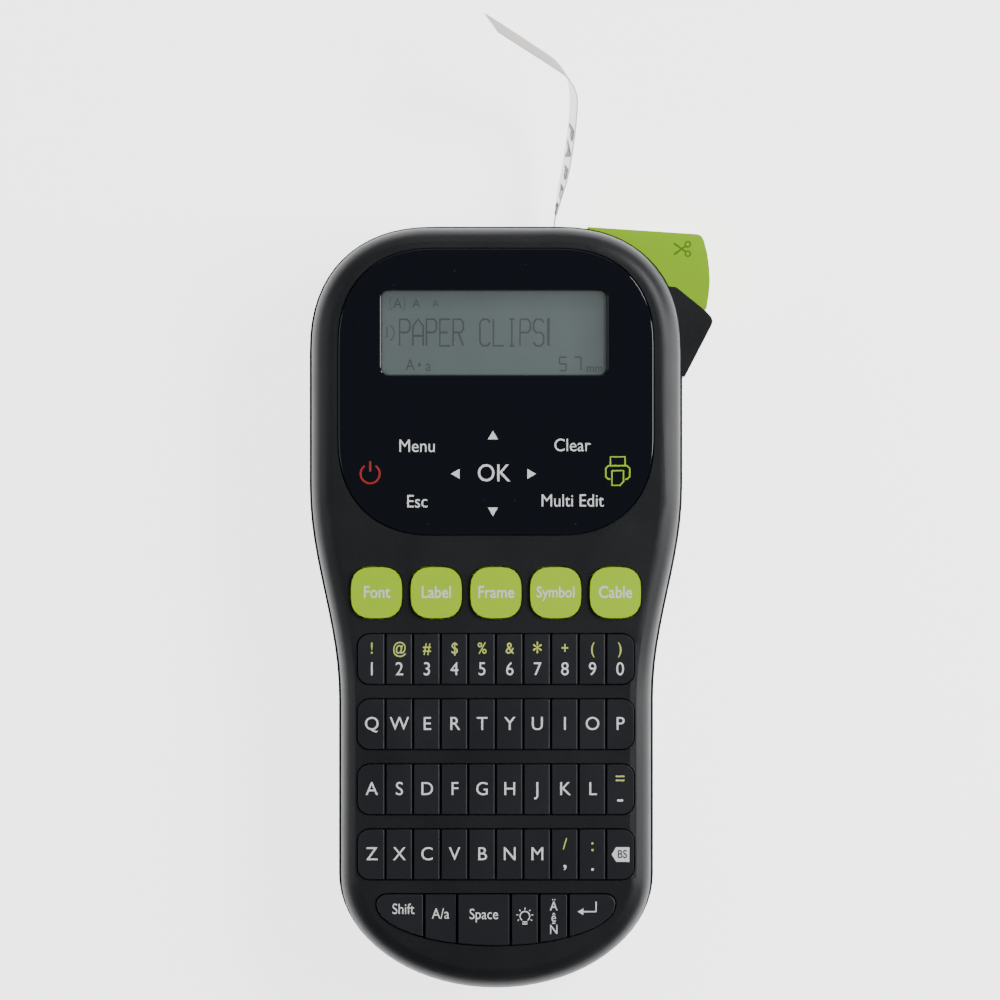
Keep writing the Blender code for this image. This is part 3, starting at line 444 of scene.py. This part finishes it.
ROWS = {"number_key_row": "1234567890", "upper_letter_key_row": "QWERTYUIOP",
        "middle_letter_key_row": "ASDFGHJKL-", "lower_letter_key_row": "ZXCVBNM,. "}
FLANGE, HALF_GAP, CAPS = 0.6 * MM, 0.26 * MM, 10
key_places = {}
for row in ROWS:
    low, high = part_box(row)
    left, right = low[0] + FLANGE, high[0] - FLANGE
    bottom, top = low[1] + FLANGE, high[1] - FLANGE
    pitch = (right - left) / CAPS
    caps = []
    for number in range(CAPS):
        x = left + number * pitch
        first, last = number == 0, number == CAPS - 1
        caps.append(cap(x + (0 if first else HALF_GAP), x + pitch - (0 if last else HALF_GAP),
                        bottom, top, low[2], high[2], last - first))
        key_places[row, number] = (x + pitch / 2, (bottom + top) / 2, high[2])
    piece = joined(caps, "caps_" + row, KEYS, body_holding[row])
    only(piece)
    flat_first(piece)
    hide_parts(row)
print("caps", len(key_places))

# %% [markdown]
# ## Legends
# Pad-printed letters are a few hundredths of a millimetre thick. Each is real text or a thin line
# made a mesh, gathered by ink and by the body it is printed on, so that it moves with its key.

# %% Text, strokes and triangles
FILM_THICK = 0.03 * MM
gathered = {}


def gather(obj, finish, body):
    """Keeps a printed mark until all marks of its ink and its body are joined."""
    gathered.setdefault((finish.material.name, body), (finish, []))[1].append(obj)


def letters(words, at, size, finish, body, squeeze=1.0, weight=0.0):
    """Flat printed text centred on a place. weight thickens the strokes, in shares of the size."""
    bpy.ops.object.select_all(action="DESELECT")
    bpy.ops.object.text_add(location=(at[0], at[1], at[2] + FILM_THICK / 2))
    made = bpy.context.object
    data = made.data
    data.body, data.size, data.offset = words, size, weight * size
    data.extrude, data.resolution_u = FILM_THICK / 2, 4
    data.align_x = data.align_y = "CENTER"
    made.scale.x = squeeze
    bpy.ops.object.convert(target="MESH")
    gather(bpy.context.object, finish, body)


def made_mesh(data, points, closed):
    """A mesh from a curve through some points."""
    spline = data.splines.new("POLY")
    spline.points.add(len(points) - 1)
    for point, (x, y) in zip(spline.points, points):
        point.co = (x, y, 0, 1)
    spline.use_cyclic_u = closed
    made = bpy.data.objects.new(data.name, data)
    bpy.context.scene.collection.objects.link(made)
    only(made)
    bpy.ops.object.convert(target="MESH")
    return bpy.context.object


def stroke(points, width, z, finish, body, closed=False):
    """A printed line through some points: a thin tube made nearly flat."""
    data = bpy.data.curves.new("line", "CURVE")
    data.dimensions, data.use_fill_caps = "3D", True
    data.bevel_depth, data.bevel_resolution = width / 2, 2
    made = made_mesh(data, points, closed)
    made.scale.z = FILM_THICK / width
    made.location.z = z + FILM_THICK / 2
    gather(made, finish, body)


def triangle(at, radius, turn, finish, body):
    """A filled triangle that points up, or turned by an angle."""
    bpy.ops.object.select_all(action="DESELECT")
    place = (at[0], at[1], at[2] + FILM_THICK / 2)
    bpy.ops.mesh.primitive_cylinder_add(vertices=3, radius=radius, depth=FILM_THICK, location=place,
                                        rotation=(0, 0, turn))
    gather(bpy.context.object, finish, body)


def tag(at, corners, body):
    """A filled white shape through corners in millimetres about a place."""
    data = bpy.data.curves.new("tag", "CURVE")
    data.dimensions, data.fill_mode, data.extrude = "2D", "BOTH", FILM_THICK / 2
    made = made_mesh(data, [(x * MM, y * MM) for x, y in corners], True)
    made.location = (at[0], at[1], at[2] + FILM_THICK / 2)
    gather(made, WHITE, body)


def arc(centre, radius, start, end, steps=18):
    """Points along part of a circle, in degrees."""
    return [(centre[0] + radius * math.cos(math.radians(start + (end - start) * k / steps)),
             centre[1] + radius * math.sin(math.radians(start + (end - start) * k / steps)))
            for k in range(steps + 1)]


# %% [markdown]
# The panel's touch legends are white, with a red power sign and a lime printer. The arrows stand
# round the OK sign, and the words stand in two columns beside it.

# %% Panel legends
ROOT = body_holding["front_panel"]
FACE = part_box("front_panel")[1][2]
POWER, POWER_LINE = (-32.7 * MM, 34.9 * MM), 0.55 * MM
PRINTER, PRINTER_LINE = (31.6 * MM, 35.0 * MM), 0.42 * MM


def outline(points, at, width, finish, closed=True, z=FACE, body=ROOT):
    """A line drawing from points in millimetres about a place."""
    stroke([(at[0] + x * MM, at[1] + y * MM) for x, y in points], width, z, finish, body, closed)


for words, x, y, size in (("Menu", -20.5, 42.0, 4.7), ("Clear", 19.8, 42.2, 4.7),
                          ("Esc", -20.5, 27.6, 4.7), ("Multi Edit", 19.8, 27.8, 4.6),
                          ("OK", -0.6, 34.9, 6.4)):
    letters(words, (x * MM, y * MM, FACE), size * MM, WHITE, ROOT, squeeze=0.92)
for x, y, turn in ((-0.8, 44.6, 0), (-0.8, 25.4, 180), (-10.2, 34.9, 90), (8.9, 34.9, -90)):
    triangle((x * MM, y * MM, FACE), 1.5 * MM, math.radians(turn), WHITE, ROOT)
stroke(arc(POWER, 2.5 * MM, 125, 415), POWER_LINE, FACE, RED, ROOT)
outline(((0, 0.6), (0, 3.3)), POWER, POWER_LINE, RED, closed=False)
paper_in = ((-1.9, 2.0), (-1.9, 4.3), (1.9, 4.3), (1.9, 2.0))
printer_body = ((-1.9, -1.5), (-2.4, -1.5), (-3.1, -0.9), (-3.1, 1.3), (-2.4, 2.0),
                (2.4, 2.0), (3.1, 1.3), (3.1, -0.9), (2.4, -1.5), (1.9, -1.5))
paper_out = ((-1.5, 0.7), (1.5, 0.7), (1.5, -2.1), (0.6, -3.1), (-1.5, -3.1), (-1.5, 0.7))
for shape in (paper_in, printer_body, paper_out):
    outline(shape, PRINTER, PRINTER_LINE, LIME_ICON, closed=False)
print("panel legends", len(gathered))

# %% [markdown]
# ## The display
# A reflective display shows dark segments on grey-green glass, a little below the panel. The middle
# line is a plain dot-matrix message, with small signs above it and the label's length below it.

# %% What the display shows
DOTS = {"P": (((0, 0), (0, 8), (3, 8), (4, 7), (4, 5), (3, 4), (0, 4)),),
        "A": (((0, 0), (0, 6), (2, 8), (4, 6), (4, 0)), ((0, 3), (4, 3))),
        "E": (((4, 0), (0, 0), (0, 8), (4, 8)), ((0, 4), (3, 4))),
        "R": (((0, 0), (0, 8), (3, 8), (4, 7), (4, 5), (3, 4), (0, 4)), ((2, 4), (4, 0))),
        "C": (((4, 1), (3, 0), (1, 0), (0, 1), (0, 7), (1, 8), (3, 8), (4, 7)),),
        "L": (((0, 8), (0, 0), (4, 0)),),
        "I": (((2, 0), (2, 8)), ((1, 0), (3, 0)), ((1, 8), (3, 8))),
        "S": (((0, 1), (1, 0), (3, 0), (4, 1), (4, 3), (3, 4),
               (1, 4), (0, 5), (0, 7), (1, 8), (3, 8), (4, 7)),)}
DOT, LETTER_PITCH = (0.66, 0.86), 3.48
LINE_START, LINE_FOOT, LINE_TOP = -25.0, 68.2, 75.4
SIZES_Y, CASE_SIGNS_Y, LENGTH_Y = 79.1, 63.1, 63.5


def shown(words, x, y, size, squeeze=0.8, weight=0.0):
    """Small signs on the glass, placed and sized in millimetres."""
    letters(words, (x * MM, y * MM, lcd_face), size * MM, SEGMENT, ROOT, squeeze=squeeze, weight=weight)


def segment(points, x, y, width):
    """A dark line on the glass, through points about a place, in millimetres."""
    outline(points, (x * MM, y * MM), width * MM, SEGMENT, closed=False, z=lcd_face)


for place, letter in enumerate("PAPER CLIPS"):
    for line in DOTS.get(letter, ()):
        points = [(x * DOT[0], y * DOT[1]) for x, y in line]
        segment(points, LINE_START + place * LETTER_PITCH, LINE_FOOT, 0.5)
segment(((0, LINE_FOOT), (0, LINE_TOP)), 13.7, 0, 0.8)
for x, size in ((-25.6, 3.6), (-20.7, 3.1), (-15.7, 2.5)):
    shown("A", x, SIZES_Y, size, 0.95)
for side in (-1, 1):
    bracket = ((side * 1.3, 1.5), (side * 1.9, 1.5), (side * 1.9, -1.5), (side * 1.3, -1.5))
    segment(bracket, -25.6, SIZES_Y, 0.2)
segment(arc((0, 0), 2.2, -62, 62, 16), -28.6, 71.5, 0.3)
shown("1", -28.3, 71.5, 4.4, 0.8, -0.01)
shown("A", -22.3, CASE_SIGNS_Y, 4.2, 0.85)
shown("a", -17.6, CASE_SIGNS_Y - 0.2, 4.2, 0.85)
shown("\u2022", -19.9, CASE_SIGNS_Y, 4.0)
SEVEN = {"a": ((-1, 2), (1, 2)), "b": ((1, 2), (1, 0)), "c": ((1, 0), (1, -2)), "d": ((-1, -2), (1, -2)),
         "f": ((-1, 2), (-1, 0)), "g": ((-1, 0), (1, 0))}
BAR = 0.86
for digit, x in (("afgcd", 17.4), ("abc", 21.3)):
    for bar in digit:
        (x0, y0), (x1, y1) = SEVEN[bar]
        segment(((x0 * BAR, y0 * BAR * 1.02), (x1 * BAR, y1 * BAR)), x, LENGTH_Y, 0.42)
shown("mm", 25.6, 62.3, 3.1, 0.9, 0.02)

# %% [markdown]
# ## Key legends
# Digits and letters are white. The second sign of a key is pale lime and stands above the first.
# The last key of the lowest letter row carries a white tag with two dark letters on it.

# %% Print the letter and number keys
for node, words in FUNCTION_KEYS.items():
    low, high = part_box(node)
    at = ((low[0] + high[0]) / 2, (low[1] + high[1]) / 2, high[2])
    size = 4.4 * MM if len(words) < 6 else 4.0 * MM
    letters(words, at, size, CREAM, body_holding[node], squeeze=0.86, weight=0.01)

SECOND_SIGNS = "!@#$%&*+()"
# Keys with two signs: the upper sign, how far up and how large, then the same for the lower sign.
PAIRS = {",": (("/", 2.6, 4.2), (",", -1.6, 6.0)), ".": ((":", 2.4, 5.0), (".", -2.4, 6.0)),
         "-": (("=", 2.6, 4.8), ("-", -2.4, 6.0))}
TAG = ((-2.3, 0), (-1.1, 1.9), (2.3, 1.9), (2.3, -1.9), (-1.1, -1.9))
for row, signs in ROWS.items():
    body = body_holding[row]
    for number, sign in enumerate(signs):
        x, y, z = key_places[row, number]
        if row == "number_key_row":
            upper = SECOND_SIGNS[number]
            lift, size = (1.7 * MM, 6.6 * MM) if upper == "*" else (2.7 * MM, 4.2 * MM)
            letters(upper, (x, y + lift, z), size, PALE_LIME, body, squeeze=0.85, weight=0.006)
            letters(sign, (x, y - 2.7 * MM, z), 4.9 * MM, WHITE, body, squeeze=0.92)
        elif sign in PAIRS:
            for (mark, lift, size), finish in zip(PAIRS[sign], (PALE_LIME, WHITE)):
                letters(mark, (x, y + lift * MM, z), size * MM, finish, body)
        elif sign == " ":
            tag((x + 0.1 * MM, y, z), TAG, body)
            letters("BS", (x + 0.55 * MM, y, z + FILM_THICK), 3.0 * MM, SEGMENT, body,
                    squeeze=0.85, weight=0.01)
        else:
            letters(sign, (x, y, z), 4.9 * MM, WHITE, body, squeeze=0.98)

# %% [markdown]
# The keys of the half-moon row have words or small drawings: a bulb for the light, three accented
# letters one above the other, and a bent arrow.


# %% Print the half-moon row
def on(node, dx=0.0, dy=0.0):
    """A place on top of a node, moved by millimetres from its middle."""
    low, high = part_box(node)
    return ((low[0] + high[0]) / 2 + dx * MM, (low[1] + high[1]) / 2 + dy * MM, high[2])


def drawn(node, at, points, width):
    """A white line on a key, through points in millimetres about a place."""
    outline(points, at[:2], width * MM, WHITE, closed=False, z=at[2], body=node)


for node, words, dx, dy in (("shift_key", "Shift", 0.9, 1.6), ("capitals_key", "A/a", 0, 1.2),
                            ("space_key", "Space", 0, 1.4)):
    letters(words, on(node, dx, dy), 3.9 * MM, WHITE, node, squeeze=0.85)
bulb = on("light_key", 0, 0.9)
drawn("light_key", bulb, arc((0, 0), 1.25, -55, 235), 0.32)
for drop in (1.45, 2.0):
    drawn("light_key", bulb, ((-0.65, -drop), (0.65, -drop)), 0.32)
RAY_START, RAY_END = 1.75, 2.2
for angle in range(-30, 211, 40):
    c, s = math.cos(math.radians(angle)), math.sin(math.radians(angle))
    drawn("light_key", bulb, ((RAY_START * c, RAY_START * s), (RAY_END * c, RAY_END * s)), 0.28)
for accented, dy in (("\u00c4", 3.1), ("\u00ea", 0.2), ("\u00d1", -3.0)):
    letters(accented, on("accent_key", 0, dy), 3.5 * MM, WHITE, "accent_key", squeeze=0.85)
turn_back = on("enter_key", -1.0, 1.4)
drawn("enter_key", turn_back, ((1.9, 2.2), (1.9, -0.4), (-1.4, -0.4)), 0.4)
arrow_tip = (turn_back[0] - 1.9 * MM, turn_back[1] - 0.4 * MM, turn_back[2])
triangle(arrow_tip, 1.0 * MM, math.radians(90), WHITE, "enter_key")

# %% [markdown]
# The tape twists and leans as it leaves the slot. Each of its letters is turned to lie flat on it,
# from the tape's width direction and running direction between the points that shape it.

# %% Print on the tape that hangs out of the slot
TAPE_PATH = ((15.4, 100.8, 12.0), (15.9, 104.2, 12.6), (17.0, 109.5, 14.3), (18.3, 115.0, 16.2),
             (19.6, 123.0, 18.8), (20.3, 130.0, 21.2))
TAPE_LEAN = ((0, 0, 1), (0.03, -0.07, 1), (0.08, -0.2, 0.97), (0.11, -0.27, 0.96), (0.12, -0.3, 0.95),
             (0.13, -0.32, 0.94))


def on_tape(y):
    """The tape's middle, its width direction and its running direction, y millimetres up."""
    for k in range(len(TAPE_PATH) - 1):
        if TAPE_PATH[k][1] <= y <= TAPE_PATH[k + 1][1]:
            start, end = Vector(TAPE_PATH[k]), Vector(TAPE_PATH[k + 1])
            share = (y - start.y) / (end.y - start.y)
            wide = Vector(TAPE_LEAN[k]).lerp(Vector(TAPE_LEAN[k + 1]), share).normalized()
            return start.lerp(end, share) * MM, wide, (end - start).normalized()


SIGN_SIZE, SIGN_WEIGHT, SIGN_SQUEEZE = 11.5 * MM, 0.3 * MM, 0.6
ABOVE_MIDDLE = 0.2 * MM
for letter, y in zip("PAPER", (125.0, 120.0, 115.0, 110.0, 105.0)):
    middle, wide, along = on_tape(y)
    outward = -along.cross(wide).normalized()
    bpy.ops.object.select_all(action="DESELECT")
    bpy.ops.object.text_add()
    sign = bpy.context.object
    sign.data.body, sign.data.size, sign.data.offset = letter, SIGN_SIZE, SIGN_WEIGHT
    sign.data.extrude = FILM_THICK / 2
    sign.data.align_x = sign.data.align_y = "CENTER"
    bpy.ops.object.convert(target="MESH")
    sign = bpy.context.object
    turn = Matrix((-along, wide, outward)).transposed().to_4x4()
    squeeze = Matrix.Diagonal((SIGN_SQUEEZE, 1, 1, 1))
    sign.matrix_world = Matrix.Translation(middle + outward * ABOVE_MIDDLE) @ turn @ squeeze
    gather(sign, DARK, body_holding["printed_label"])

# %% [markdown]
# A pair of scissors marks the lever, in a darker lime. Then all the marks of one ink on one body
# become one piece.

# %% The scissors on the cutter lever, and the joining of all marks
LEVER_FACE, SNIP = 17 * MM, (48.9 * MM, 94.3 * MM)
for side in (-1, 1):
    ring, blade = arc((1.7, side * 1.25), 0.7, 0, 360, 16), ((1.2, side * 0.8), (-2.0, -side * 1.5))
    outline(ring, SNIP, 0.42 * MM, LEVER_MARK, z=LEVER_FACE, body="cutter_lever")
    outline(blade, SNIP, 0.5 * MM, LEVER_MARK, False, LEVER_FACE, "cutter_lever")
for (ink_name, body), (finish, marks) in gathered.items():
    joined(marks, f"legend_{ink_name}_{body}", finish, body)
print("legend pieces", len(gathered))

# %% [markdown]
# ## Remaining finishes
# The pieces whose shape is already right only get their finish in their material slot.

# %% Assign the finishes
slot_finish = {"case": CASE, "inner": INNER, "panel": PANEL, "window": WINDOW, "display": DISPLAY,
               "board": BOARD, "lime": LIME, "keys": KEYS, "rubber": RUBBER, "steel": STEEL,
               "gear": NYLON, "cell": CELL, "tape": TAPE, "ribbon": FILM}
for entry in frame["record"]["subparts"]:
    for slot in nodes[entry["node"]].material_slots:
        slot.material = slot_finish[entry["material_slot"]].material

# %% [markdown]
# ## Floor, light and camera
# The label maker lies on a plain pale floor that glows, as a light table does. A strong soft strip
# on the right draws a pale band along that shoulder of the case, and weak strips on the left and
# behind the head open up the other sides. A small light high on the right lights keys and legends.
# The flat panel mirrors none of them toward the camera, so it stays dark.

# %% Stage
FLOOR_COLOUR, FLOOR_GLOW, UNDER_BODY = (0.98, 0.98, 0.98), 2.8, -0.2 * MM
bpy.ops.object.select_all(action="DESELECT")
bpy.ops.mesh.primitive_plane_add(size=6, location=(0, 0, UNDER_BODY))
floor = bpy.context.object
floor.name = "floor"
FLOOR = Finish("pale_floor", FLOOR_COLOUR, 0.8)
floor.data.materials.append(FLOOR.material)
FLOOR.shader.inputs["Emission Color"].default_value = (1, 1, 1, 1)
FLOOR.shader.inputs["Emission Strength"].default_value = FLOOR_GLOW


AIM = Vector((0, 0.02, 0.02))


def light(name, place, size, power):
    """A soft rectangular light that looks at the object. Its power is in watts."""
    data = bpy.data.lights.new(name, "AREA")
    data.shape, data.energy = "RECTANGLE", power
    data.size, data.size_y = size
    made = bpy.data.objects.new(name, data)
    bpy.context.scene.collection.objects.link(made)
    made.location = place
    made.rotation_euler = (AIM - Vector(place)).to_track_quat("-Z", "Y").to_euler()


light("right_strip", (0.85, 0.1, 0.5), (0.25, 1.2), 10)
light("left_strip", (-0.85, 0.1, 0.62), (0.4, 1.2), 2.5)
light("top_strip", (0.0, 1.0, 0.75), (1.2, 0.4), 1.5)
light("overhead", (0.75, 0.55, 1.05), (0.3, 0.3), 8)
ROOM_COLOUR, ROOM_STRENGTH = (0.9, 0.93, 1.0, 1), 0.14
world = bpy.data.worlds.new("soft_room")
world.use_nodes = True
background = world.node_tree.nodes["Background"]
background.inputs["Color"].default_value = ROOM_COLOUR
background.inputs["Strength"].default_value = ROOM_STRENGTH
bpy.context.scene.world = world

# %% [markdown]
# The camera looks straight down from well above, with a long lens that takes in a little more than
# the length of the label maker and its tape.

# %% Camera, straight above
DISTANCE, FRAME_WIDTH, SENSOR = 1.5, 0.2614, 36
SIGHT = (0.00105, 0.0281, 0.03)
camera_data = bpy.data.cameras.new("camera")
camera_data.sensor_width = SENSOR
camera_data.lens = SENSOR * DISTANCE / FRAME_WIDTH
camera = bpy.data.objects.new("camera", camera_data)
bpy.context.scene.collection.objects.link(camera)
camera.location = (SIGHT[0], SIGHT[1], SIGHT[2] + DISTANCE)
bpy.context.scene.camera = camera
